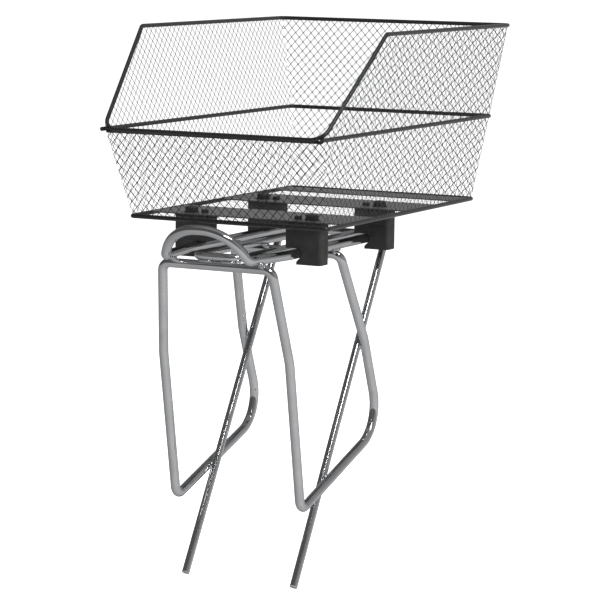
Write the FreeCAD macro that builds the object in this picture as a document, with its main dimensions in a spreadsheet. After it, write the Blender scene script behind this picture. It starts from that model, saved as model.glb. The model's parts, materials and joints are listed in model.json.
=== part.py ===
import FreeCAD, Part
import math
import os

from FreeCAD import Vector

# Bicycle rear carrier with a wire mesh basket clamped on its rails, in millimetres.
# +Z is up, +Y points to the bicycle's rear and +X to the rider's left. The origin is
# the middle of the line between the lower ends of the two stays.

doc = FreeCAD.newDocument("carrier_basket")
sheet = doc.addObject("Spreadsheet::Sheet", "sizes")

SIZES = {
    # carrier tubes
    "tube_d": 12.0,
    "thin_tube_d": 10.0,
    "tube_wall": 1.2,
    "weld_gap": 0.05,
    "rail_level": 414.0,
    "rail_half": 70.0,
    "rail_taper_y": -10.6,
    "inner_half": 31.0,
    "inner_bend": 14.0,
    # raised arch at the saddle end of the rails
    "arch_half": 57.0,
    "arch_y": -91.6,
    "arch_rise": 36.0,
    "arch_lean": 20.0,
    "arch_shoulder": 38.0,
    "arch_bend": 54.0,
    "foot_bend": 9.0,
    # stays down to the axle
    "stay_run": 253.4,
    "stay_bend": 15.0,
    "plug_rim": 1.0,
    "plug_depth": 12.0,
    # side loops
    "hoop_half": 75.0,
    "loop_half": 87.5,
    "front_hoop_y": -66.6,
    "back_hoop_y": 119.4,
    "front_kink_y": -40.6,
    "front_kink_z": 285.6,
    "loop_toe_y": -6.1,
    "loop_toe_z": 97.6,
    "loop_heel_y": 217.4,
    "loop_heel_z": 169.6,
    "back_kink_y": 167.2,
    "back_kink_z": 290.0,
    "hoop_bend": 12.0,
    "toe_bend": 12.0,
    "heel_bend": 47.0,
    "kink_bend": 60.0,
    # clamps
    "fit_gap": 0.3,
    "run_gap": 0.05,
    "clamp_front_y": 21.4,
    "clamp_back_y": 214.4,
    "clamp_inner": 16.0,
    "clamp_width": 48.0,
    "clamp_depth": 24.0,
    "clamp_round": 4.0,
    "clamp_inner_round": 1.0,
    "hook_above": 17.5,
    "hook_below": 13.6,
    "jaw_tip": 1.0,
    "spacer_height": 21.4,
    "bolt_out": 14.0,
    "bolt_d": 6.0,
    "bolt_head_d": 16.0,
    "bolt_head_height": 6.0,
    "bolt_crown": 2.0,
    "bolt_socket": 5.0,
    "washer_d": 18.0,
    "washer_wall": 1.2,
    "nut_across": 10.0,
    "nut_height": 5.0,
    "nut_sink": 1.0,
    "screw_in": 5.0,
    "screw_d": 4.0,
    "screw_head_d": 9.0,
    "screw_head_height": 4.0,
    "screw_bite": 8.0,
    "clamp_travel": 10.0,
    # flat strips across the basket floor
    "strip_wall": 1.5,
    "strip_rise": 2.2,
    "strip_width": 92.0,
    "strip_front_y": 50.0,
    "strip_back_y": 235.0,
    "tail_width": 46.0,
    "strip_tail_y": 361.0,
    # basket wires
    "floor_half": 134.85,
    "floor_front": -40.6,
    "floor_length": 437.6,
    "floor_wire_d": 5.5,
    "rim_wire_d": 5.2,
    "brace_wire_d": 4.0,
    "floor_bend": 5.0,
    "mid_height": 109.8,
    "mid_half": 149.65,
    "mid_front_out": 40.0,
    "mid_back_out": 22.6,
    "mid_stub": 7.0,
    "rim_height": 230.5,
    "rim_half": 170.0,
    "rim_back_out": 30.7,
    "rim_dip": 84.0,
    "dip_in": 0.65,
    "dip_out": 3.4,
    "brace_drop": 2.8,
    "rim_bend": 8.0,
    "dip_bend": 20.0,
    # wire mesh sheets
    "mesh_wall": 1.8,
    # how far the cutting blocks reach past what they cut
    "over": 1.0,
}

for row, (alias, value) in enumerate(SIZES.items(), 1):
    sheet.set("A%d" % row, alias)
    sheet.set("B%d" % row, str(value))
    sheet.setAlias("B%d" % row, alias)
doc.recompute()


def size(alias):
    """A driving dimension, as the sheet holds it."""
    return float(sheet.get(alias))


parts = []
SIDES = {"left": 1, "right": -1}
ROWS = {"front": "clamp_front_y", "back": "clamp_back_y"}


# ---------------------------------------------------------------- general makers

def keep(obj, label):
    """Give a finished sub-part its name and list it for export."""
    obj.Label = label
    parts.append(obj)
    return obj


def feature(name, shape):
    """A sub-part whose shape is worked out from the sheet in code."""
    obj = doc.addObject("Part::Feature", name)
    obj.Shape = shape
    obj.Placement = FreeCAD.Placement()
    return keep(obj, name)


def bind(obj, **expressions):
    """Bind properties, or x, y, z of the placement, to the sheet."""
    for prop, text in expressions.items():
        path = ".Placement.Base." + prop if prop in ("x", "y", "z") else prop
        obj.setExpression(path, text)
    return obj


def block(name, length, width, height, x, y, z):
    """A box of the given sizes, centred on x and y, standing on z."""
    obj = doc.addObject("Part::Box", name)
    bind(obj, Length=length, Width=width, Height=height)
    return bind(obj, x="(%s) - (%s) / 2" % (x, length), y="(%s) - (%s) / 2" % (y, width), z=z)


def post(name, radius, height, x, y, z):
    """An upright cylinder."""
    obj = doc.addObject("Part::Cylinder", name)
    return bind(obj, Radius=radius, Height=height, x=x, y=y, z=z)


def hexagon(name, across, height, x, y, z):
    """An upright hexagonal prism, given its size across the flats."""
    obj = doc.addObject("Part::Prism", name)
    obj.Polygon = 6
    return bind(obj, Circumradius="(%s) / 2 / cos(30)" % across, Height=height, x=x, y=y, z=z)


def along_y(name, radius, length, x, y, z):
    """A cylinder lying along Y, centred on y."""
    obj = doc.addObject("Part::Cylinder", name)
    obj.Placement = FreeCAD.Placement(Vector(), FreeCAD.Rotation(Vector(1, 0, 0), -90))
    return bind(obj, Radius=radius, Height=length, x=x, y="(%s) - (%s) / 2" % (y, length), z=z)


def join(name, members):
    obj = doc.addObject("Part::MultiFuse", name)
    obj.Shapes = members
    return obj


def cut(name, base, tools):
    obj = doc.addObject("Part::Cut", name)
    obj.Base = base
    obj.Tool = tools[0] if len(tools) == 1 else join(name + "_tools", tools)
    return obj


def section(start, direction, radius, bore):
    """A disc or ring across direction at start."""
    outer = Part.Face(Part.Wire(Part.makeCircle(radius, start, direction)))
    if bore <= 0:
        return outer
    return outer.cut(Part.Face(Part.Wire(Part.makeCircle(bore, start, direction)))).Faces[0]


def bend_at(before, corner, after, radius):
    """Where a bend of the given radius leaves and meets its two runs, and its centre."""
    back = (before - corner).normalize()
    onward = (after - corner).normalize()
    half = back.getAngle(onward) / 2
    reach = radius / math.tan(half)
    centre = corner + (back + onward).normalize() * (radius / math.sin(half))
    axis = onward.cross(back)
    return corner + back * reach, corner + onward * reach, centre, axis, math.pi - 2 * half


def bent(points, radii, radius, bore=0.0, closed=False):
    """A round bar or tube along straight runs joined by tangent bends, as one solid.

    radii has a radius for each inner point, or for each point of a closed ring."""
    points = [Vector(*p) for p in points]
    count = len(points)
    inner = range(count) if closed else range(1, count - 1)
    bends = [bend_at(points[i - 1], points[i], points[(i + 1) % count], bend_radius)
             for i, bend_radius in zip(inner, radii)]
    starts = [b[1] for b in bends]
    ends = [b[0] for b in bends]
    if closed:
        runs = list(zip(starts, ends[1:] + ends[:1]))
    else:
        runs = list(zip([points[0]] + starts, ends + [points[-1]]))
    pieces = []
    for start, end in runs:
        pieces.append(section(start, end - start, radius, bore).extrude(end - start))
    for (start, end, centre, axis, turn), corner in zip(bends, inner):
        ring = section(start, points[corner] - start, radius, bore)
        pieces.append(ring.revolve(centre, axis, math.degrees(turn)))
    return pieces[0].multiFuse(pieces[1:]).Solids[0]


def mirrored(points):
    """A run of points on the left and its mirror image, as one row across the middle."""
    return [(-x, y, z) for x, y, z in points] + [(x, y, z) for x, y, z in reversed(points)]


# ---------------------------------------------------------------- carrier

TUBE_R = size("tube_d") / 2
THIN_R = size("thin_tube_d") / 2
WALL = size("tube_wall")
RAIL_Z = size("rail_level")
HOOP_Z = RAIL_Z - 2 * TUBE_R - size("weld_gap")
INNER_Z = HOOP_Z + TUBE_R + THIN_R + size("weld_gap")
STAY_X = size("loop_half") - TUBE_R - THIN_R - size("weld_gap")
STAY_Y = size("stay_run")


def stay_bar():
    """The bar across the tail of the rails whose two legs run down to the axle."""
    points = mirrored([(STAY_X, 0, 0), (STAY_X, STAY_Y, RAIL_Z)])
    return feature("stay_bar", bent(points, [size("stay_bend")] * 2, THIN_R, THIN_R - WALL))


def stay_plug(side):
    """A plug pressed into the open lower end of a stay, its face flush with the cut."""
    up = Vector(0, STAY_Y, RAIL_Z).normalize()
    foot = Vector(SIDES[side] * STAY_X, 0, 0)
    radius = THIN_R - WALL - size("run_gap")
    stem = Part.makeCylinder(radius, size("plug_depth"), foot, up)
    rim = Part.makeCylinder(THIN_R - size("run_gap"), size("plug_rim"), foot - up * size("plug_rim"), up)
    return feature("stay_plug_" + side, stem.fuse(rim).removeSplitter())


def outer_rail():
    """The two rails, drawn in towards the saddle end and turned up there into an arch."""
    top = RAIL_Z + size("arch_rise")
    lean = size("arch_y") - size("arch_lean")
    points = mirrored([
        (size("rail_half"), STAY_Y, RAIL_Z),
        (size("rail_half"), size("rail_taper_y"), RAIL_Z),
        (size("arch_half"), size("arch_y"), RAIL_Z),
        (size("arch_shoulder"), lean, top),
    ])
    half = [size("kink_bend"), size("foot_bend"), size("arch_bend")]
    rail = bent(points, half + half[::-1], TUBE_R, TUBE_R - WALL)
    grown = bent(mirrored([(STAY_X, 0, 0), (STAY_X, STAY_Y, RAIL_Z)]),
                 [size("stay_bend")] * 2, THIN_R + size("weld_gap"))
    return feature("outer_rail", largest(rail.cut(grown)))


def inner_rail():
    """The thinner U that lies between the rails, on the front hoop."""
    end = STAY_Y - THIN_R - size("weld_gap")
    points = mirrored([
        (size("inner_half"), end, INNER_Z),
        (size("inner_half"), size("front_hoop_y"), INNER_Z),
    ])
    return feature("inner_rail", bent(points, [size("inner_bend")] * 2, THIN_R, THIN_R - WALL))


def largest(shape):
    return max(shape.Solids, key=lambda solid: solid.Volume)


def side_loop(side):
    """One side of the looped leg: front hoop, leg, toe, heel, leg and back hoop."""
    turn = SIDES[side]
    low = turn * size("loop_half")
    top = turn * size("hoop_half")
    middle = turn * size("weld_gap") / 2
    points = [
        (middle, size("front_hoop_y"), HOOP_Z),
        (top, size("front_hoop_y"), HOOP_Z),
        (low, size("front_kink_y"), size("front_kink_z")),
        (low, size("loop_toe_y"), size("loop_toe_z")),
        (low, size("loop_heel_y"), size("loop_heel_z")),
        (low, size("back_kink_y"), size("back_kink_z")),
        (top, size("back_hoop_y"), HOOP_Z),
        (middle, size("back_hoop_y"), HOOP_Z),
    ]
    names = ["hoop_bend", "kink_bend", "toe_bend", "heel_bend", "kink_bend", "hoop_bend"]
    return feature("loop_" + side, bent(points, [size(n) for n in names], TUBE_R, TUBE_R - WALL))


# ---------------------------------------------------------------- clamps

HOOK_TOP = "(sizes.rail_level + sizes.hook_above)"
SPACER_TOP = "(%s + sizes.spacer_height)" % HOOK_TOP
STRIP_UNDER = "(%s + sizes.fit_gap)" % SPACER_TOP
STRIP_TOP = "(%s + sizes.strip_wall)" % STRIP_UNDER
WASHER_UNDER = "(%s + sizes.fit_gap)" % STRIP_TOP
BOLT_HEAD_UNDER = "(%s + sizes.washer_wall)" % WASHER_UNDER
BOLT_HOLE = "sizes.bolt_d / 2 + sizes.run_gap"
SCREW_HOLE = "sizes.screw_d / 2 + sizes.run_gap"
NUT_UNDER = "(sizes.rail_level - sizes.hook_below + sizes.nut_sink)"


def outward(side, offset):
    """Expression for a place that far outward of the rail's axis."""
    return "%d * (sizes.rail_half + (%s))" % (SIDES[side], offset)


def upright(edge):
    return edge.BoundBox.ZLength > max(edge.BoundBox.XLength, edge.BoundBox.YLength)


def clamp_block(name, row, side, height, bottom):
    """The rounded outline that both blocks of a clamp share."""
    body = block(name + "_body", "sizes.clamp_width", "sizes.clamp_depth", height,
                 outward(side, "sizes.clamp_width / 2 - sizes.clamp_inner"),
                 "sizes." + ROWS[row], bottom)
    doc.recompute()
    inner = size("rail_half") - size("clamp_inner")
    picked = []
    for number, edge in enumerate(body.Shape.Edges, 1):
        if upright(edge):
            on_inner_face = abs(abs(edge.CenterOfMass.x) - inner) < size("run_gap")
            radius = size("clamp_inner_round" if on_inner_face else "clamp_round")
            picked.append((number, radius, radius))
    rounded = doc.addObject("Part::Fillet", name + "_rounded")
    rounded.Base = body
    rounded.Edges = picked
    return rounded


def bolt_hole(name, row, side):
    return post(name + "_bolt_hole", BOLT_HOLE, "sizes.rail_level",
                outward(side, "sizes.bolt_out"), "sizes." + ROWS[row], "sizes.rail_level / 2")


def clamp_hook(row, side):
    """The lower block: it reaches round the outside of the rail and under it."""
    name = "clamp_hook_%s_%s" % (row, side)
    middle = "sizes." + ROWS[row]
    turn = SIDES[side]
    body = clamp_block(name, row, side, "sizes.hook_above + sizes.hook_below",
                       "sizes.rail_level - sizes.hook_below")
    deep = "(sizes.clamp_depth + 2 * sizes.over)"
    reach = "(sizes.tube_d / 2 + sizes.fit_gap)"
    seat = along_y(name + "_seat", reach, deep, outward(side, "0"), middle, "sizes.rail_level")
    # the seat is open inward above the rail's axis, so the hook can slide off the rail
    way = "(sizes.clamp_inner + sizes.over)"
    entry = block(name + "_entry", way, deep, reach, outward(side, "-%s / 2" % way), middle,
                  "sizes.rail_level")
    # a slot as wide as the seat slopes down and inward from it, and leaves the jaw's flank
    slot = doc.addObject("Part::Box", name + "_slot")
    slot.Placement = FreeCAD.Placement(Vector(), FreeCAD.Rotation(Vector(0, 1, 0), 90 + 45 * turn))
    bind(slot, Length="2 * sizes.hook_below", Width=deep, Height="2 * " + reach,
         x="%s - %s * cos(45)" % (outward(side, "0"), reach),
         y="%s - %s / 2" % (middle, deep),
         z="sizes.rail_level + %d * %s * cos(45)" % (turn, reach))
    # nothing is left of the block inward of the jaw's tip and below the rail's axis
    mouth_width = "(sizes.clamp_inner - sizes.jaw_tip + sizes.over)"
    mouth = block(name + "_mouth", mouth_width, deep, "sizes.hook_below + sizes.over",
                  outward(side, "-sizes.jaw_tip - %s / 2" % mouth_width), middle,
                  "sizes.rail_level - sizes.hook_below - sizes.over")
    pocket = hexagon(name + "_nut_pocket", "(sizes.nut_across + 2 * sizes.run_gap)",
                     "sizes.nut_height + sizes.nut_sink",
                     outward(side, "sizes.bolt_out"), middle, "sizes.rail_level - sizes.hook_below")
    bite = post(name + "_screw_hole", SCREW_HOLE, "sizes.screw_bite + sizes.over",
                outward(side, "-sizes.screw_in"), middle, HOOK_TOP + " - sizes.screw_bite")
    tools = [seat, entry, slot, mouth, pocket, bite, bolt_hole(name, row, side)]
    return keep(cut(name, body, tools), name)


def clamp_spacer(row, side):
    """The upper block, between the hook and the strip."""
    name = "clamp_spacer_%s_%s" % (row, side)
    body = clamp_block(name, row, side, "sizes.spacer_height", HOOK_TOP)
    screw = post(name + "_screw_hole", SCREW_HOLE, "sizes.spacer_height + 2 * sizes.over",
                 outward(side, "-sizes.screw_in"), "sizes." + ROWS[row], HOOK_TOP + " - sizes.over")
    return keep(cut(name, body, [screw, bolt_hole(name, row, side)]), name)


def clamp_nut(row, side):
    """The nut held in the pocket under the hook."""
    name = "clamp_nut_%s_%s" % (row, side)
    body = hexagon(name + "_body", "sizes.nut_across", "sizes.nut_height",
                   outward(side, "sizes.bolt_out"), "sizes." + ROWS[row], NUT_UNDER)
    return keep(cut(name, body, [bolt_hole(name, row, side)]), name)


def clamp_screw(row, side):
    """The small screw that keeps the two blocks square; its head rides on the strip."""
    name = "clamp_screw_%s_%s" % (row, side)
    place = (outward(side, "-sizes.screw_in"), "sizes." + ROWS[row])
    foot = "(%s - sizes.screw_bite)" % HOOK_TOP
    shank = post(name + "_shank", "sizes.screw_d / 2", "%s - %s" % (WASHER_UNDER, foot),
                 *place, foot)
    head = hexagon(name + "_head", "sizes.screw_head_d", "sizes.screw_head_height",
                   *place, WASHER_UNDER)
    return keep(join(name, [shank, head]), name)


def clamp_bolt(row, side):
    """The bolt that draws the hook up under the rail."""
    name = "clamp_bolt_%s_%s" % (row, side)
    place = (outward(side, "sizes.bolt_out"), "sizes." + ROWS[row])
    shank = post(name + "_shank", "sizes.bolt_d / 2", "%s - %s" % (BOLT_HEAD_UNDER, NUT_UNDER),
                 *place, NUT_UNDER)
    head = post(name + "_head", "sizes.bolt_head_d / 2", "sizes.bolt_head_height",
                *place, BOLT_HEAD_UNDER)
    doc.recompute()
    crown = doc.addObject("Part::Fillet", name + "_crown")
    crown.Base = head
    middle = head.Shape.CenterOfMass.z
    crown.Edges = [(n, size("bolt_crown"), size("bolt_crown"))
                   for n, edge in enumerate(head.Shape.Edges, 1) if edge.BoundBox.ZMin > middle]
    socket = hexagon(name + "_socket", "sizes.bolt_socket", "sizes.bolt_head_height",
                     *place, BOLT_HEAD_UNDER + " + sizes.bolt_head_height / 2")
    return keep(cut(name, join(name + "_solid", [shank, crown]), [socket]), name)


def clamp_washer(row, side):
    """The washer under the bolt's head."""
    name = "clamp_washer_%s_%s" % (row, side)
    disc = post(name + "_disc", "sizes.washer_d / 2", "sizes.washer_wall",
                outward(side, "sizes.bolt_out"), "sizes." + ROWS[row], WASHER_UNDER)
    return keep(cut(name, disc, [bolt_hole(name, row, side)]), name)


# ---------------------------------------------------------------- basket

FLOOR_R = size("floor_wire_d") / 2
RIM_R = size("rim_wire_d") / 2
GAP = size("weld_gap")
FLOOR_Z = (RAIL_Z + size("hook_above") + size("spacer_height") + size("fit_gap")
           + size("strip_wall") - size("strip_rise"))
FLOOR_X = size("floor_half")
FLOOR_Y0 = size("floor_front")
FLOOR_Y1 = FLOOR_Y0 + size("floor_length")
MID_X = size("mid_half")
MID_Z = FLOOR_Z + size("mid_height")
MID_Y0 = FLOOR_Y0 - size("mid_front_out")
MID_Y1 = FLOOR_Y1 + size("mid_back_out")
RIM_X = size("rim_half")
RIM_Z = FLOOR_Z + size("rim_height")
RIM_Y0 = FLOOR_Y0 + size("rim_dip")
RIM_Y1 = FLOOR_Y1 + size("rim_back_out")
DIP_X = MID_X - size("dip_in")
DIP_Y = MID_Y0 - size("dip_out")
BRACE_R = size("brace_wire_d") / 2
BRACE_Y = DIP_Y + math.sqrt((RIM_R + BRACE_R + size("fit_gap")) ** 2 - size("brace_drop") ** 2)
BRACE_Z = MID_Z - size("brace_drop")
MESH_T = size("mesh_wall")


def cross_strip(name, middle, width, slots):
    """A flat strip from one side wire of the floor to the other."""
    length = "2 * sizes.floor_half - sizes.floor_wire_d - 2 * sizes.weld_gap"
    flat = block(name + "_flat", length, width, "sizes.strip_wall", "0", middle, STRIP_UNDER)
    tools = [strip_slot("%s_slot_%d" % (name, n), *slot) for n, slot in enumerate(slots)]
    return keep(cut(name, flat, tools) if tools else flat, name)


def strip_slot(name, side, row, offset, width):
    """A slot that lets a clamp's bolt or screw move outward with its clamp."""
    length = "(%s + sizes.clamp_travel + 2 * sizes.fit_gap)" % width
    return block(name, length, "%s + 2 * sizes.fit_gap" % width, "sizes.strip_wall + 2 * sizes.over",
                 outward(side, "%s + sizes.clamp_travel / 2" % offset), "sizes." + row,
                 STRIP_UNDER + " - sizes.over")


def strips():
    """The two wide strips that carry the clamps, and the narrow one at the tail."""
    for row, alias in ROWS.items():
        slots = []
        for side in SIDES:
            slots.append((side, alias, "sizes.bolt_out", "sizes.bolt_d"))
            slots.append((side, alias, "-sizes.screw_in", "sizes.screw_d"))
        cross_strip("strip_" + row, "sizes.strip_%s_y" % row, "sizes.strip_width", slots)
    cross_strip("strip_tail", "sizes.strip_tail_y", "sizes.tail_width", [])


def floor_frame():
    """The closed wire round the floor."""
    corners = [(-FLOOR_X, FLOOR_Y0, FLOOR_Z), (-FLOOR_X, FLOOR_Y1, FLOOR_Z),
               (FLOOR_X, FLOOR_Y1, FLOOR_Z), (FLOOR_X, FLOOR_Y0, FLOOR_Z)]
    return feature("floor_frame", bent(corners, [size("floor_bend")] * 4, FLOOR_R, closed=True))


def mid_wire():
    """The wire round the sides and back half way up, with its two ends out at the front."""
    end = MID_Y0 - size("mid_stub")
    points = mirrored([(MID_X, end, MID_Z), (MID_X, MID_Y1, MID_Z)])
    return feature("mid_wire", bent(points, [size("rim_bend")] * 2, RIM_R))


def rim_wire():
    """The closed rim: its front run lies low between the ends of the mid wire, and wide
    bends take it up inside them to the slopes."""
    half = [(DIP_X, DIP_Y, MID_Z), (RIM_X, RIM_Y0, RIM_Z), (RIM_X, RIM_Y1, RIM_Z)]
    corners = [(-x, y, z) for x, y, z in half] + half[::-1]
    radii = [size("dip_bend"), size("rim_bend"), size("rim_bend")]
    return feature("rim_wire", bent(corners, radii + radii[::-1], RIM_R, closed=True))


def front_brace():
    """The thin straight wire behind and under the rim's front run, between the mid wires."""
    reach = MID_X - RIM_R - GAP
    start = Vector(-reach, BRACE_Y, BRACE_Z)
    return feature("front_brace", Part.makeCylinder(BRACE_R, 2 * reach, start, Vector(1, 0, 0)))


def sheet_of_mesh(corners):
    """A flat sheet through the given corners, half its thickness on each side of them."""
    points = [Vector(*p) for p in corners]
    face = Part.Face(Part.makePolygon(points + points[:1]))
    normal = (points[1] - points[0]).cross(points[2] - points[0]).normalize()
    face.translate(normal * (-MESH_T / 2))
    return face.extrude(normal * MESH_T)


def between(low, high, clear_low, clear_high):
    """The stretch from low to high, shortened at each end."""
    low, high = Vector(*low), Vector(*high)
    step = (high - low).normalize()
    return low + step * clear_low, high - step * clear_high


def wall(left_low, left_high, right_low, right_high, clear_low, clear_high):
    """A four-cornered sheet between a lower and an upper wire, clear of both."""
    a, b = between(left_low, left_high, clear_low, clear_high)
    c, d = between(right_low, right_high, clear_low, clear_high)
    return sheet_of_mesh([tuple(a), tuple(c), tuple(d), tuple(b)])


def mesh_walls():
    """The five sheets of wire mesh, as plain sheets of the mesh's own size."""
    edge = MESH_T
    floor_clear = FLOOR_R + size("fit_gap")
    mid_clear = RIM_R + size("fit_gap")
    feature("mesh_front", wall((-FLOOR_X, FLOOR_Y0, FLOOR_Z), (edge - MID_X, BRACE_Y, BRACE_Z),
                               (FLOOR_X, FLOOR_Y0, FLOOR_Z), (MID_X - edge, BRACE_Y, BRACE_Z),
                               floor_clear, BRACE_R + size("fit_gap")))
    back = []
    levels = [(FLOOR_X, FLOOR_Y1, FLOOR_Z, floor_clear), (MID_X, MID_Y1, MID_Z, mid_clear),
              (RIM_X, RIM_Y1, RIM_Z, mid_clear)]
    for (x0, y0, z0, clear0), (x1, y1, z1, clear1) in zip(levels, levels[1:]):
        back.append(wall((-x0 + edge, y0, z0), (-x1 + edge, y1, z1),
                         (x0 - edge, y0, z0), (x1 - edge, y1, z1), clear0, clear1))
    feature("mesh_back", Part.makeCompound(back))
    for side, turn in SIDES.items():
        low = wall((turn * FLOOR_X, FLOOR_Y0 + edge, FLOOR_Z), (turn * MID_X, MID_Y0 + edge, MID_Z),
                   (turn * FLOOR_X, FLOOR_Y1 - edge, FLOOR_Z), (turn * MID_X, MID_Y1 - edge, MID_Z),
                   floor_clear, mid_clear)
        feature("mesh_" + side, Part.makeCompound([low, upper_side(turn, mid_clear, edge)]))


def upper_side(turn, clear, edge):
    """The part of a side sheet above the mid wire, sloped off along the rim's dip."""
    full = RIM_Z - MID_Z
    slope = (RIM_Y0 - DIP_Y) / full

    def at(y, height):
        return (turn * (MID_X + (RIM_X - MID_X) * height / full), y, MID_Z + height)

    def dip_edge(height):
        return at(DIP_Y + slope * height + clear * math.hypot(1, slope), height)

    def back_edge(height):
        return at(MID_Y1 + (RIM_Y1 - MID_Y1) * height / full - edge, height)

    # the corner under the rim's upper bend is taken off by as much as the bend needs
    corner = size("rim_bend") * math.tan(math.atan2(1, slope) / 2)
    top = full - clear
    below = top - corner / math.hypot(1, slope)
    return sheet_of_mesh([dip_edge(clear), back_edge(clear), back_edge(top),
                          at(dip_edge(top)[1] + corner, top), dip_edge(below)])


def mesh_floor():
    """The floor sheet under the strips, with a window round each clamp."""
    name = "mesh_floor"
    clear = "(sizes.floor_wire_d + 2 * sizes.weld_gap)"
    under = "(%s - sizes.weld_gap - sizes.mesh_wall)" % STRIP_UNDER
    plate = block(name + "_plate", "2 * sizes.floor_half - %s" % clear,
                  "sizes.floor_length - %s" % clear, "sizes.mesh_wall",
                  "0", "sizes.floor_front + sizes.floor_length / 2", under)
    doc.recompute()
    rounded = doc.addObject("Part::Fillet", name + "_rounded")
    rounded.Base = plate
    radius = size("floor_bend") - FLOOR_R
    rounded.Edges = [(n, radius, radius) for n, edge in enumerate(plate.Shape.Edges, 1)
                     if upright(edge)]
    windows = []
    for row, alias in ROWS.items():
        for side in SIDES:
            windows.append(block("%s_window_%s_%s" % (name, row, side),
                                 "sizes.clamp_width + sizes.clamp_travel + 2 * sizes.fit_gap",
                                 "sizes.clamp_depth + 2 * sizes.fit_gap",
                                 "sizes.mesh_wall + 2 * sizes.over",
                                 outward(side, "(sizes.clamp_width + sizes.clamp_travel) / 2"
                                               " - sizes.clamp_inner"),
                                 "sizes." + alias, under + " - sizes.over"))
    return keep(cut(name, rounded, windows), name)


# ---------------------------------------------------------------- build and export

def check():
    """Stop if any object failed, or any sub-part is empty or broken."""
    doc.recompute()
    for obj in doc.Objects:
        if "Invalid" in obj.State or "Error" in obj.State:
            raise RuntimeError("%s did not recompute: %s" % (obj.Name, obj.State))
    for obj in parts:
        if obj.Shape.isNull() or not obj.Shape.isValid() or not obj.Shape.Solids:
            raise RuntimeError("%s has no valid shape" % obj.Label)


def main():
    outer_rail()
    inner_rail()
    stay_bar()
    for side in SIDES:
        stay_plug(side)
        side_loop(side)
    for row in ROWS:
        for side in SIDES:
            for make in (clamp_hook, clamp_spacer, clamp_nut, clamp_screw, clamp_bolt, clamp_washer):
                make(row, side)
    strips()
    floor_frame()
    mid_wire()
    rim_wire()
    front_brace()
    mesh_floor()
    mesh_walls()
    check()
    os.makedirs("parts", exist_ok=True)
    for obj in parts:
        obj.Shape.exportStep("parts/%s.step" % obj.Label)


main()
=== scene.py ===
import json
import math

import bmesh
import bpy
from mathutils import Matrix, Vector


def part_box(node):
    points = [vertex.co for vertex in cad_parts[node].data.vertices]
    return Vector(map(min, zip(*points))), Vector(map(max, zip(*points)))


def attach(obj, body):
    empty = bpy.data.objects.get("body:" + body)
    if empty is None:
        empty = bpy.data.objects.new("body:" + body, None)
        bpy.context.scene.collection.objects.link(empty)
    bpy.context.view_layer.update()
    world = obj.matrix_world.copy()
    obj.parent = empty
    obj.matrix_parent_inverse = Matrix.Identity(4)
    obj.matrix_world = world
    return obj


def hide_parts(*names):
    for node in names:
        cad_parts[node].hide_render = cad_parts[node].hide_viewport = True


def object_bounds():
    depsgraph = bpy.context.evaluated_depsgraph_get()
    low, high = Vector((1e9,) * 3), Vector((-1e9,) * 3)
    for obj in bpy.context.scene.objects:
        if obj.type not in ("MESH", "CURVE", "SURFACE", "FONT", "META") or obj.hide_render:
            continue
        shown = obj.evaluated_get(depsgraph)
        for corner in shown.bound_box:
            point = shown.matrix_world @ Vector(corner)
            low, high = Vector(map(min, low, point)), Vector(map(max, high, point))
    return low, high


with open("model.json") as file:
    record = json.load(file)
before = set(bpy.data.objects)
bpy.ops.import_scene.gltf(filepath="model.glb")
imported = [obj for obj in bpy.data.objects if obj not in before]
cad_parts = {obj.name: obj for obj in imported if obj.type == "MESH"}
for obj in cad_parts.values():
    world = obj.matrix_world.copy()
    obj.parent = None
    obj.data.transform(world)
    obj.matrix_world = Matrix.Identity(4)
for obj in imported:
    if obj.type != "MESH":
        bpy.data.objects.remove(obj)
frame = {"nodes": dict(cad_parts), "record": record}
CAD_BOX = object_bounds()

MM = 0.001
NODES = frame["nodes"]
SIDES = {"left": 1, "right": -1}
ROWS = ("front", "back")


# ---------------------------------------------------------------- sizes read from the frame

def low(node):
    """The least x, y and z of a node's box."""
    return Vector(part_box(node)[0])


def high(node):
    """The greatest x, y and z of a node's box."""
    return Vector(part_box(node)[1])


FLOOR_R = (high("floor_frame").z - low("floor_frame").z) / 2
FLOOR_Z = low("floor_frame").z + FLOOR_R
FLOOR_X = high("floor_frame").x - FLOOR_R
FLOOR_Y0 = low("floor_frame").y + FLOOR_R
FLOOR_Y1 = high("floor_frame").y - FLOOR_R
RIM_R = (high("mid_wire").z - low("mid_wire").z) / 2
MID_Z = low("mid_wire").z + RIM_R
MID_X = high("mid_wire").x - RIM_R
MID_Y1 = high("mid_wire").y - RIM_R
BRACE_Y = (low("front_brace").y + high("front_brace").y) / 2
BRACE_Z = (low("front_brace").z + high("front_brace").z) / 2
RIM_X = high("rim_wire").x - RIM_R
RIM_Z = high("rim_wire").z - RIM_R
RIM_Y1 = high("rim_wire").y - RIM_R
DIP_Y = low("rim_wire").y + RIM_R

MESH_FLOOR_Z = (low("mesh_floor").z + high("mesh_floor").z) / 2
HOOP_Y = low("loop_left").y     # the near side of the front hoop
HOOP_TOP = high("loop_left").z


# ---------------------------------------------------------------- sizes of the looks

# woven mesh
MESH_WIRE = 0.95 * MM
DIAMOND_WIDE = 11.8 * MM
DIAMOND_TALL = 12.4 * MM
WEAVE_DEPTH = 0.3            # the coating fills most of the step where two wires cross
FLOOR_FLATNESS = 0.14        # the floor's mesh is rolled nearly flat
WALL_FLATNESS = 0.5          # and the walls' mesh pressed

# bends of the basket's wires, as their axes run
FLOOR_BEND = 5 * MM
RIM_BEND = 8 * MM
DIP_BEND = 20 * MM           # at the foot of the rim's slopes
FRONT_SHARPNESS = 0.1        # the mesh's front corners close up to this share of the floor's bend
RIM_CREST_Y = 43.4 * MM      # where the rim's slope reaches its full height

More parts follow.
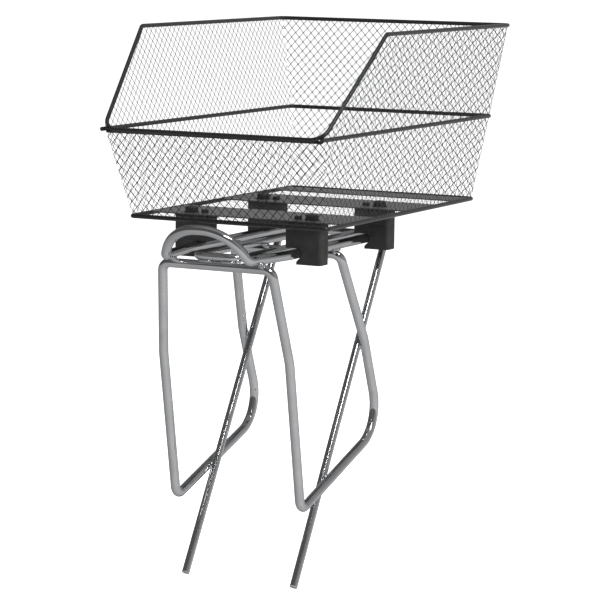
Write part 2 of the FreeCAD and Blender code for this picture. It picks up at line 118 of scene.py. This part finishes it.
# clamps
CLAMP_TRAVEL = 10 * MM
CLAMP_EDGE = 0.7 * MM        # the moulded blocks' rounding
MERGE_REACH = 0.01 * MM
FLAT_ANGLE = math.radians(1)
EDGE_ANGLE = math.radians(50)
SMOOTH_ANGLE = math.radians(35)

# carrier, where the weld beads go
TUBE_R = 6 * MM
THIN_R = 5 * MM
RAIL_X = 70 * MM
FRONT_RAIL_X = 61 * MM       # where the rails, drawn in, cross the front hoop
BACK_HOOP_Y = 119.4 * MM
INNER_Z = 413 * MM
TAIL_Y = 248.4 * MM          # the near side of the bar across the tail
STAY_SIDE_X = 81.5 * MM      # between a stay and its loop
STAY_BACK = (171.4 * MM, 280 * MM)      # y and z where a stay passes the loop's two legs
STAY_FOOT = (75.9 * MM, 124 * MM)
BEAD_RING = 3.8 * MM
BEAD_THICK = 1.4 * MM
BEAD_STEPS = 36
BEAD_RIPPLE = 3              # every third step of the ring swells
BEAD_SWELL = 1.25
BEAD_REACH = 0.05            # radians either side of a step
BEAD_STRETCH = 8 * MM        # where two tubes run together

# camera
CAMERA_TURN = math.radians(26.76)
CAMERA_RISE = math.radians(7.98)
CAMERA_ROLL = math.radians(0.79)
CAMERA_DISTANCE = 3.52
CAMERA_AIM = Vector((-0.0005, 0.1594, 0.3337))
CAMERA_LENS = 164.3

# the room's own axes, seen from above: to the camera's right and straight ahead of it
ROOM_RIGHT = (0.88, 0.45, 0)
ROOM_AHEAD = (-0.45, 0.88, 0)


# ---------------------------------------------------------------- shader maths

def grey(shade, blue=1.0):
    """An opaque grey, its blue scaled."""
    return (shade, shade, shade * blue, 1)


class Value:
    """A shader socket that adds Math nodes when it is used in an expression."""

    def __init__(self, material, socket):
        self.material = material
        self.socket = socket

    def _math(self, operation, *inputs):
        return self.material.node("ShaderNodeMath", {"operation": operation},
                                  dict(enumerate(inputs)), 0)

    def __add__(self, other):
        return self._math("ADD", self, other)

    def __radd__(self, other):
        return self._math("ADD", other, self)

    def __sub__(self, other):
        return self._math("SUBTRACT", self, other)

    def __rsub__(self, other):
        return self._math("SUBTRACT", other, self)

    def __mul__(self, other):
        return self._math("MULTIPLY", self, other)

    def above(self, other):
        return self._math("GREATER_THAN", self, other)

    def clamped(self):
        out = self._math("ADD", self, 0.0)
        out.socket.node.use_clamp = True
        return out


class Finish:
    """A node material round one Principled shader."""

    def __init__(self, name, **constants):
        self.material = bpy.data.materials.new(name)
        self.material.use_nodes = True
        self.tree = self.material.node_tree
        self.shader = self.tree.nodes["Principled BSDF"]
        for key, value in constants.items():
            self.shader.inputs[key.replace("_", " ")].default_value = value
        self.place = self.node("ShaderNodeTexCoord", {}, {}, "Object")

    def node(self, kind, settings, inputs, output=0):
        """Add a node: its settings first, then the values or links of its sockets."""
        made = self.tree.nodes.new(kind)
        for key, value in settings.items():
            if key == "stops":
                for element, (position, shade) in zip(made.color_ramp.elements, value):
                    element.position = position
                    element.color = grey(shade) if isinstance(shade, float) else shade
            else:
                setattr(made, key, value)
        for key, value in inputs.items():
            if isinstance(value, Value):
                self.tree.links.new(value.socket, made.inputs[key])
            else:
                made.inputs[key].default_value = value
        return Value(self, made.outputs[output])

    def noise(self, scale, detail=2.0, roughness=0.5, stretch=(1, 1, 1)):
        """Noise on Object coordinates, from 0 to 1; scale is in features per metre."""
        place = self.node("ShaderNodeMapping", {}, {"Vector": self.place, "Scale": stretch})
        return self.node("ShaderNodeTexNoise", {}, {"Vector": place, "Scale": scale,
                                                    "Detail": detail, "Roughness": roughness})

    def ramp(self, value, *stops):
        return self.node("ShaderNodeValToRGB", {"stops": stops}, {"Fac": value})

    def blend(self, factor, one, two):
        return self.node("ShaderNodeMix", {"data_type": "RGBA"},
                         {0: factor, 6: one, 7: two}, 2)

    def bump(self, height, distance):
        normal = self.node("ShaderNodeBump", {}, {"Height": height, "Distance": distance})
        self.feed("Normal", normal)

    def feed(self, name, value):
        self.tree.links.new(value.socket, self.shader.inputs[name])


# ---------------------------------------------------------------- finishes

def chrome(name, rough, ripple):
    """Bright chromium plate: faint polishing haze, water marks and the ripple of bent tube."""
    finish = Finish(name, Metallic=1.0)
    haze = finish.noise(38, 4, 0.6)
    marks = finish.noise(420, 2, 0.5, (1, 1, 0.25))
    finish.feed("Roughness", rough + haze * 0.05 + marks * 0.03)
    tint = finish.ramp(haze, (0.3, (0.68, 0.69, 0.71, 1)), (0.7, (0.79, 0.795, 0.81, 1)))
    finish.feed("Base Color", tint)
    finish.bump(finish.noise(60, 2) + marks * 0.15, ripple)
    return finish.material


def gloss_coat(name, shade, rough):
    """Black dipped coating on wire: glossy, with small runs and dust specks."""
    finish = Finish(name, Coat_Roughness=0.12, Specular_IOR_Level=0.5)
    run = finish.noise(160, 3, 0.55)
    speck = finish.noise(1500, 1).above(0.72)
    dusty = (shade * 3.0, shade * 3.0, shade * 2.9, 1)
    dust = (run * 0.35 + speck * 0.4).clamped()
    finish.feed("Base Color", finish.blend(dust, grey(shade, 1.05), dusty))
    finish.feed("Roughness", (rough + run * 0.16 + speck * 0.2).clamped())
    finish.feed("Coat Weight", 0.7 - run * 0.4)
    finish.bump(run + speck * 0.1, 0.00012)
    return finish.material


def moulded(name, shade, rough, grain):
    """Moulded plastic with a spark-eroded grain, a little lighter where hands rub it."""
    finish = Finish(name, Specular_IOR_Level=0.45)
    fine = finish.noise(grain, 3, 0.65)
    broad = finish.noise(55, 3, 0.5)
    flow = finish.noise(120, 2, 0.5, (1, 1, 0.2))
    rubbed = finish.ramp(broad, (0.35, 0.0), (0.75, 1.0))
    base = finish.blend(rubbed, grey(shade), (shade * 1.7, shade * 1.7, shade * 1.68, 1))
    finish.feed("Base Color", finish.blend((fine * 0.3).clamped(), base, grey(shade * 2.6)))
    finish.feed("Roughness", (rough - rubbed * 0.08 + fine * 0.16 + flow * 0.06).clamped())
    finish.bump(fine + flow * 0.3, 0.00018)
    return finish.material


def satin_paint(name, shade, rough):
    """Powder coat with orange peel and a few rub marks."""
    finish = Finish(name, Coat_Roughness=0.3)
    peel = finish.noise(900, 2, 0.5)
    wear = finish.ramp(finish.noise(70, 5, 0.7, (0.25, 1, 1)), (0.58, 0.0), (0.68, 1.0))
    scuffed = (shade * 2.6, shade * 2.6, shade * 2.5, 1)
    finish.feed("Base Color", finish.blend(wear * 0.5, grey(shade), scuffed))
    finish.feed("Roughness", (rough + peel * 0.1 + wear * 0.12).clamped())
    finish.feed("Coat Weight", 0.25 - wear * 0.2)
    finish.bump(peel, 0.00012)
    return finish.material


def bare_metal(name, colour, rough, metallic):
    """Small turned or pressed hardware: fine machining marks and handling stains."""
    finish = Finish(name, Metallic=metallic)
    stain = finish.noise(240, 4, 0.6)
    turned = finish.noise(2200, 2, 0.5, (1, 1, 0.1))
    worn = tuple(min(1.0, c * 1.8 + 0.02) for c in colour)
    finish.feed("Base Color", finish.blend((stain * 0.6).clamped(), colour + (1,), worn + (1,)))
    finish.feed("Roughness", (rough + stain * 0.18 + turned * 0.08).clamped())
    finish.bump(turned + stain * 0.4, 0.00008)
    return finish.material


FINISHES = {
    "chrome_tube": chrome("chrome_tube", 0.045, 0.00006),
    "weld": chrome("chromed_weld", 0.12, 0.0004),
    "coated_wire": gloss_coat("black_coated_wire", 0.011, 0.18),
    "coated_mesh": gloss_coat("black_coated_mesh", 0.011, 0.24),
    "clamp_plastic": moulded("grained_clamp_plastic", 0.03, 0.46, 2600),
    "plug_plastic": moulded("pale_plug_plastic", 0.3, 0.4, 1500),
    "painted_strip": satin_paint("satin_black_strip", 0.075, 0.3),
    "black_steel": bare_metal("black_oxide_steel", (0.035, 0.034, 0.034), 0.3, 0.6),
    "zinc_steel": bare_metal("zinc_plated_steel", (0.52, 0.53, 0.54), 0.28, 1.0),
}


def dress(obj, finish):
    """Give a piece its one material."""
    obj.data.materials.clear()
    obj.data.materials.append(FINISHES[finish])
    for face in obj.data.polygons:
        face.material_index = 0


def dress_frame():
    """Every CAD node takes the finish of its own material slot."""
    for part in frame["record"]["subparts"]:
        dress(NODES[part["node"]], part["material_slot"])


# ---------------------------------------------------------------- woven wire mesh

def level(z, low_value, mid_value, top_value):
    """A width or a length of the basket at height z: straight from floor to mid wire to rim."""
    if z <= MID_Z:
        return low_value + (mid_value - low_value) * (z - FLOOR_Z) / (MID_Z - FLOOR_Z)
    return mid_value + (top_value - mid_value) * (z - MID_Z) / (RIM_Z - MID_Z)


def half_width(z):
    return level(z, FLOOR_X, MID_X, RIM_X)


def back_y(z):
    return level(z, FLOOR_Y1, MID_Y1, RIM_Y1)


def front_y(z):
    return level(z, FLOOR_Y0, BRACE_Y, BRACE_Y)


def corner_radius(z):
    return level(z, FLOOR_BEND, RIM_BEND, RIM_BEND)


def front_corner_radius(z):
    return level(z, FLOOR_BEND, FRONT_SHARPNESS * FLOOR_BEND, FRONT_SHARPNESS * FLOOR_BEND)


def pick(*objects):
    """Select these objects alone, with the first as the active one."""
    bpy.ops.object.select_all(action="DESELECT")
    for obj in objects:
        obj.select_set(True)
    bpy.context.view_layer.objects.active = objects[0]


def start_edit(obj):
    pick(obj)
    bpy.ops.object.mode_set(mode="EDIT")


def end_edit(obj):
    bmesh.update_edit_mesh(obj.data)
    bpy.ops.object.mode_set(mode="OBJECT")


def wire_family(outline, lean):
    """Parallel bare edges leaning one way, nearly flat in XY, trimmed to a convex outline.

    Crossings lie on fixed rows, so the two families, and neighbouring panels, meet."""
    xs = [x for x, y in outline]
    ys = [y for x, y in outline]
    middle_x = round((min(xs) + max(xs)) / 2 / DIAMOND_WIDE) * DIAMOND_WIDE
    middle_y = round((min(ys) + max(ys)) / 2 / DIAMOND_TALL) * DIAMOND_TALL
    reach = (max(xs) - min(xs)) / DIAMOND_WIDE + (max(ys) - min(ys)) / DIAMOND_TALL
    cells = 2 * math.ceil(reach / 2) + 4
    bpy.ops.object.select_all(action="DESELECT")
    bpy.ops.mesh.primitive_grid_add(x_subdivisions=cells, y_subdivisions=cells,
                                    size=cells * DIAMOND_WIDE / math.sqrt(2))
    wires = bpy.context.object
    start_edit(wires)
    bpy.ops.mesh.select_all(action="SELECT")
    bpy.ops.transform.rotate(value=math.pi / 4, orient_axis="Z", center_override=(0, 0, 0))
    bpy.ops.transform.resize(value=(1, DIAMOND_TALL / DIAMOND_WIDE, 1), center_override=(0, 0, 0))
    bpy.ops.mesh.delete(type="ONLY_FACE")
    mesh = bmesh.from_edit_mesh(wires.data)
    for edge in mesh.edges:
        run = edge.verts[1].co - edge.verts[0].co
        edge.select_set(run.x * run.y * lean < 0)
    bpy.ops.mesh.delete(type="EDGE")
    # one family passes over on the even rows, the other on the odd rows
    mesh = bmesh.from_edit_mesh(wires.data)
    for vert in mesh.verts:
        row = round(vert.co.y / (DIAMOND_TALL / 2))
        over = lean if row % 2 else -lean
        vert.co.z = over * WEAVE_DEPTH * MESH_WIRE / 2
    bmesh.update_edit_mesh(wires.data)
    bpy.ops.mesh.select_all(action="SELECT")
    bpy.ops.transform.translate(value=(middle_x, middle_y, 0))
    centre = Vector((sum(xs) / len(xs), sum(ys) / len(ys)))
    for (x0, y0), (x1, y1) in zip(outline, outline[1:] + outline[:1]):
        normal = Vector((y1 - y0, x0 - x1))
        if normal.dot(centre - Vector((x0, y0))) > 0:
            normal.negate()
        bpy.ops.mesh.select_all(action="SELECT")
        bpy.ops.mesh.bisect(plane_co=(x0, y0, 0), plane_no=(normal.x, normal.y, 0),
                            clear_outer=True)
    bpy.ops.object.mode_set(mode="OBJECT")
    return wires


def weave(outline, place, flatness=WALL_FLATNESS, windows=()):
    """Both families of a panel as round wires, pressed, with each point moved to its place."""
    families = []
    for lean in (1, -1):
        wires = wire_family(outline, lean)
        for x0, y0, x1, y1 in windows:
            cut_window(wires, x0, y0, x1, y1)
        wires = round_wires(wires)
        for vert in wires.data.vertices:
            vert.co = place(vert.co.x, vert.co.y, vert.co.z * flatness)
        families.append(wires)
    return families


def select_near(wires, x0, y0, x1, y1, margin=0.0):
    """Select the edges whose middles lie within a rectangle and a margin round it."""
    for edge in bmesh.from_edit_mesh(wires.data).edges:
        middle = (edge.verts[0].co + edge.verts[1].co) / 2
        edge.select_set(x0 - margin < middle.x < x1 + margin
                        and y0 - margin < middle.y < y1 + margin)


def cut_window(wires, x0, y0, x1, y1):
    """Take the wires out of a rectangle."""
    start_edit(wires)
    sides = (((x0, y0), (1, 0)), ((x1, y0), (1, 0)), ((x0, y0), (0, 1)), ((x0, y1), (0, 1)))
    for spot, direction in sides:
        select_near(wires, x0, y0, x1, y1, DIAMOND_WIDE)
        bpy.ops.mesh.bisect(plane_co=(*spot, 0), plane_no=(*direction, 0))
    select_near(wires, x0, y0, x1, y1)
    bpy.ops.mesh.delete(type="EDGE")
    end_edit(wires)


def round_wires(wires):
    """Turn bare edges into smooth round wire."""
    pick(wires)
    bpy.ops.object.convert(target="CURVE")
    bpy.ops.object.mode_set(mode="EDIT")
    bpy.ops.curve.select_all(action="SELECT")
    bpy.ops.curve.spline_type_set(type="BEZIER")
    bpy.ops.curve.handle_type_set(type="AUTOMATIC")
    bpy.ops.object.mode_set(mode="OBJECT")
    curve = bpy.context.object
    curve.data.resolution_u = 2
    curve.data.bevel_depth = MESH_WIRE / 2
    curve.data.bevel_resolution = 1
    curve.data.use_fill_caps = True
    bpy.ops.object.convert(target="MESH")
    bpy.ops.object.shade_smooth()
    return bpy.context.object


def panel(name, node, families):
    """Join the wires of one mesh panel and let them stand for its plain CAD sheet."""
    pick(*families)
    bpy.ops.object.join()
    bpy.ops.object.transform_apply(location=True, rotation=True, scale=True)
    piece = bpy.context.object
    piece.name = name
    dress(piece, "coated_mesh")
    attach(piece, "basket")
    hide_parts(node)


def round_corner(across, along, lift, edge, radius):
    """Bend a point near a corner onto the corner's arc.

    across is the wall's own distance out, along the distance to the sharp corner and edge
    the corner's distance out the other way. The result is the new distance out both ways."""
    if along >= radius:
        return across + lift, edge - along
    turn = (1 - along / radius) * math.pi / 4
    return (across - radius + (radius + lift) * math.cos(turn),
            edge - radius + (radius + lift) * math.sin(turn))


def side_wall(side):
    """A side panel in two runs, below and above the mid wire. Its points are (y, z) first."""
    turn = SIDES[side]

    def place(along, z, lift):
        out = half_width(z)
        if along > (front_y(z) + back_y(z)) / 2:
            x, y = round_corner(out, back_y(z) - along, lift, back_y(z), corner_radius(z))
        else:
            x, y = round_corner(out, along - front_y(z), lift, -front_y(z),
                                front_corner_radius(z))
            y = -y
        return Vector((turn * x, y, z))

    low_run = [(FLOOR_Y0, FLOOR_Z), (FLOOR_Y1, FLOOR_Z), (MID_Y1, MID_Z), (BRACE_Y, MID_Z)]
    # the mesh starts where the rim's wide bend has brought it out to the side
    tip = DIP_Y + DIP_BEND / 2
    slope = (RIM_Z - MID_Z) / (RIM_CREST_Y - DIP_Y)
    high_run = [(tip, MID_Z), (MID_Y1, MID_Z), (RIM_Y1, RIM_Z), (RIM_CREST_Y, RIM_Z),
                (tip, MID_Z + slope * (tip - DIP_Y))]
    panel("woven_side_" + side, "mesh_" + side, weave(low_run, place) + weave(high_run, place))


def end_wall(name, node, runs, out_at, outward):
    """The front (outward -1) or back (outward 1) panel. Its points are (x, z) first."""

    def place(along, z, lift):
        edge = half_width(z)
        radius = corner_radius(z) if outward > 0 else front_corner_radius(z)
        y, x = round_corner(outward * out_at(z), edge - abs(along), lift, edge, radius)
        return Vector((math.copysign(x, along), outward * y, z))

    families = []
    for run in runs:
        families += weave(run, place)
    panel(name, node, families)


def front_wall():
    run = [(-FLOOR_X, FLOOR_Z), (FLOOR_X, FLOOR_Z), (MID_X, BRACE_Z), (-MID_X, BRACE_Z)]
    end_wall("woven_front", "mesh_front", [run], front_y, -1)


def back_wall():
    low_run = [(-FLOOR_X, FLOOR_Z), (FLOOR_X, FLOOR_Z), (MID_X, MID_Z), (-MID_X, MID_Z)]
    high_run = [(-MID_X, MID_Z), (MID_X, MID_Z), (RIM_X, RIM_Z), (-RIM_X, RIM_Z)]
    end_wall("woven_back", "mesh_back", [low_run, high_run], back_y, 1)


def clamp_window(row, side):
    """The rectangle in the floor that a clamp takes up as it slides outward."""
    spacer = "clamp_spacer_%s_%s" % (row, side)
    x0, x1 = low(spacer).x, high(spacer).x
    if SIDES[side] > 0:
        x1 += CLAMP_TRAVEL
    else:
        x0 -= CLAMP_TRAVEL
    return (x0 - MESH_WIRE, low(spacer).y - MESH_WIRE, x1 + MESH_WIRE, high(spacer).y + MESH_WIRE)


def floor_panel():
    """The floor, with its corners nipped off inside the bends and a window for each clamp."""
    nip = FLOOR_BEND * (2 - math.sqrt(2))
    outline = [(FLOOR_X - nip, FLOOR_Y0), (FLOOR_X, FLOOR_Y0 + nip),
               (FLOOR_X, FLOOR_Y1 - nip), (FLOOR_X - nip, FLOOR_Y1),
               (nip - FLOOR_X, FLOOR_Y1), (-FLOOR_X, FLOOR_Y1 - nip),
               (-FLOOR_X, FLOOR_Y0 + nip), (nip - FLOOR_X, FLOOR_Y0)]
    windows = [clamp_window(row, side) for row in ROWS for side in SIDES]

    def place(x, y, lift):
        return Vector((x, y, MESH_FLOOR_Z + lift))

    panel("woven_floor", "mesh_floor", weave(outline, place, FLOOR_FLATNESS, windows))


# ---------------------------------------------------------------- clamps with worked edges

def copy_of(pattern):
    """A copy of an object, with a mesh of its own."""
    made = pattern.copy()
    made.data = pattern.data.copy()
    bpy.context.scene.collection.objects.link(made)
    return made


def soften(key, finish, width):
    """A copy of a moulded block's node with its doubles merged and its edges rounded."""
    block = copy_of(NODES[key])
    block.parent = None
    block.matrix_world = NODES[key].matrix_world.copy()
    block.name = key + "_moulded"
    start_edit(block)
    bpy.ops.mesh.select_all(action="SELECT")
    bpy.ops.mesh.remove_doubles(threshold=MERGE_REACH)
    bpy.ops.mesh.dissolve_limited(angle_limit=FLAT_ANGLE)
    end_edit(block)
    bpy.ops.object.transform_apply(location=True, rotation=True, scale=True)
    bevel = block.modifiers.new("worn_edge", "BEVEL")
    bevel.width = width
    bevel.segments = 2
    bevel.limit_method = "ANGLE"
    bevel.angle_limit = EDGE_ANGLE
    bevel.use_clamp_overlap = True
    bpy.ops.object.modifier_apply(modifier=bevel.name)
    bpy.ops.object.shade_smooth_by_angle(angle=SMOOTH_ANGLE)
    dress(block, finish)
    return block


def clamps():
    for row in ROWS:
        for side in SIDES:
            key = row + "_" + side
            for kind in ("clamp_hook_", "clamp_spacer_"):
                block = soften(kind + key, "clamp_plastic", CLAMP_EDGE)
                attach(block, "clamp_" + key)
                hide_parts(kind + key)


# ---------------------------------------------------------------- weld beads

def bead_ring():
    """A rippled ring of weld metal, lying flat at the origin."""
    bpy.ops.object.select_all(action="DESELECT")
    bpy.ops.mesh.primitive_torus_add(major_segments=BEAD_STEPS, minor_segments=8,
                                     major_radius=BEAD_RING, minor_radius=BEAD_THICK)
    ring = bpy.context.object
    start_edit(ring)
    for step in range(0, BEAD_STEPS, BEAD_RIPPLE):
        mesh = bmesh.from_edit_mesh(ring.data)
        angle = 2 * math.pi * step / BEAD_STEPS
        for vert in mesh.verts:
            off = math.remainder(math.atan2(vert.co.y, vert.co.x) - angle, 2 * math.pi)
            vert.select_set(abs(off) < BEAD_REACH)
        mesh.select_flush_mode()
        bpy.ops.transform.resize(value=(BEAD_SWELL,) * 3,
                                 center_override=(BEAD_RING * math.cos(angle),
                                                  BEAD_RING * math.sin(angle), 0))
    end_edit(ring)
    bpy.ops.object.shade_smooth()
    return ring


def bead(pattern, name, place, stretch=0.0, axis=(0, 0, 1)):
    """A copy of the ring round one joint, drawn out in X where two tubes run together."""
    ring = copy_of(pattern)
    ring.name = name
    for vert in ring.data.vertices:
        vert.co.x += math.copysign(stretch / 2, vert.co.x)
    turn = Vector(axis).to_track_quat("Z", "Y").to_matrix().to_4x4()
    ring.data.transform(Matrix.Translation(Vector(place)) @ turn)
    dress(ring, "weld")
    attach(ring, "rack")


def welds():
    """Beads where the carrier's tubes cross or run together."""
    ring = bead_ring()
    front = HOOP_Y + TUBE_R
    inner_x = high("inner_rail").x - THIN_R
    rail_z = low("outer_rail").z + TUBE_R
    ahead, sideways = (0, 1, 0), (1, 0, 0)
    for side, turn in SIDES.items():
        bead(ring, "weld_front_hoop_" + side, (turn * FRONT_RAIL_X, front, HOOP_TOP))
        bead(ring, "weld_back_hoop_" + side, (turn * RAIL_X, BACK_HOOP_Y, HOOP_TOP))
        bead(ring, "weld_inner_hoop_" + side, (turn * inner_x, BACK_HOOP_Y, HOOP_TOP))
        bead(ring, "weld_inner_front_" + side, (turn * inner_x / 2, front, HOOP_TOP),
             stretch=BEAD_STRETCH)
        bead(ring, "weld_tail_inner_" + side, (turn * inner_x, TAIL_Y, INNER_Z), axis=ahead)
        bead(ring, "weld_tail_outer_" + side, (turn * RAIL_X, TAIL_Y, rail_z), axis=ahead)
        bead(ring, "weld_stay_back_" + side, (turn * STAY_SIDE_X, *STAY_BACK), axis=sideways)
        bead(ring, "weld_stay_foot_" + side, (turn * STAY_SIDE_X, *STAY_FOOT), axis=sideways)
    bpy.data.objects.remove(ring, do_unlink=True)


# ---------------------------------------------------------------- stage

def camera():
    """A long lens, a little above the rails, off the front right corner."""
    outward = Vector((math.sin(CAMERA_TURN) * math.cos(CAMERA_RISE),
                      -math.cos(CAMERA_TURN) * math.cos(CAMERA_RISE), math.sin(CAMERA_RISE)))
    place = CAMERA_AIM + CAMERA_DISTANCE * outward
    ahead = (CAMERA_AIM - place).normalized()
    level_right = ahead.cross(Vector((0, 0, 1))).normalized()
    level_up = level_right.cross(ahead)
    right = math.cos(CAMERA_ROLL) * level_right + math.sin(CAMERA_ROLL) * level_up
    up = math.cos(CAMERA_ROLL) * level_up - math.sin(CAMERA_ROLL) * level_right
    data = bpy.data.cameras.new("camera")
    data.lens = CAMERA_LENS
    data.clip_end = 30
    view = bpy.data.objects.new("camera", data)
    turn = Matrix((right, up, -ahead)).transposed().to_4x4()
    view.matrix_world = Matrix.Translation(place) @ turn
    bpy.context.scene.collection.objects.link(view)
    bpy.context.scene.camera = view


def soft_box(name, place, aim, size, power, along=(1, 0, 0), mirrored=False):
    """A rectangular lamp, its first side along a direction; a mirrored one shows in metal."""
    data = bpy.data.lights.new(name, "AREA")
    data.shape = "RECTANGLE"
    data.size, data.size_y = size
    data.energy = power
    lamp = bpy.data.objects.new(name, data)
    lamp.visible_glossy = mirrored
    lamp.location = place
    back = (Vector(place) - Vector(aim)).normalized()
    side = (Vector(along) - back * back.dot(Vector(along))).normalized()
    lamp.rotation_euler = Matrix((side, back.cross(side), back)).transposed().to_euler()
    bpy.context.scene.collection.objects.link(lamp)


def floor():
    """A pale floor under the stays, which neither shows in metal nor lights what is above."""
    bpy.ops.object.select_all(action="DESELECT")
    bpy.ops.mesh.primitive_plane_add(size=60, location=(0, 0, CAD_BOX[0][2]))
    ground = bpy.context.object
    ground.name = "studio_floor"
    finish = Finish("pale_floor", Base_Color=(0.93, 0.93, 0.93, 1), Roughness=0.9,
                    Emission_Color=(1, 1, 1, 1), Emission_Strength=0.95)
    ground.data.materials.append(finish.material)
    ground.visible_glossy = False
    ground.visible_diffuse = False


class Sky(Finish):
    """The studio's walls as a node tree round one Background."""

    def __init__(self, name):
        world = bpy.data.worlds.new(name)
        bpy.context.scene.world = world
        world.use_nodes = True
        self.tree = world.node_tree
        self.shader = self.tree.nodes["Background"]

    def along(self, place, direction):
        """How far a point of the sky lies in a direction, from -1 to 1."""
        return self.node("ShaderNodeVectorMath", {"operation": "DOT_PRODUCT"},
                         {0: place, 1: direction}, "Value")


def surroundings():
    """White to the eye; in reflections a dim room, lighter on the right, and a pale floor."""
    sky = Sky("studio")
    place = sky.node("ShaderNodeTexCoord", {}, {}, "Generated")
    height = sky.node("ShaderNodeSeparateXYZ", {}, {0: place}, "Z")
    right = sky.along(place, ROOM_RIGHT)
    ahead = sky.along(place, ROOM_AHEAD)
    ground = (0.42 - ahead * 0.12 + right * 0.12).clamped()
    room = (0.09 + (right * 0.22).clamped()).clamped()
    far_wall = ((ahead - 0.55) * 1.2).clamped() * 0.5
    above = height.above(0.0)
    ceiling = ((height - 0.75) * 3.0).clamped() * 0.25
    seen = above * (room + far_wall * (1 - height) + ceiling) + (1 - above) * ground
    mirrored = sky.node("ShaderNodeCombineXYZ", {}, {0: seen, 1: seen, 2: seen})
    direct = sky.node("ShaderNodeLightPath", {}, {}, "Is Camera Ray")
    sky.feed("Color", sky.blend(direct, mirrored, (1, 1, 1, 1)))


dress_frame()
welds()
side_wall("left")
side_wall("right")
front_wall()
back_wall()
floor_panel()
clamps()
camera()
floor()
surroundings()
soft_box("overhead", (0.2, -0.3, 2.8), (0, 0.15, 0.3), (2.6, 2.0), 70)
soft_box("front_fill", (0.3, -3.2, 1.2), (0, 0.1, 0.35), (1.6, 1.2), 12)
soft_box("right_fill", (3.0, 0.4, 1.1), (0, 0.15, 0.4), (1.2, 1.6), 40, along=(0, 1, 0))
soft_box("key_line", (2.55, -1.65, 4.2), (0, 0.1, 0.3), (2.6, 0.7), 70,
         along=(0.28, 0.93, 0.23), mirrored=True)
bpy.context.scene.view_settings.view_transform = "Standard"
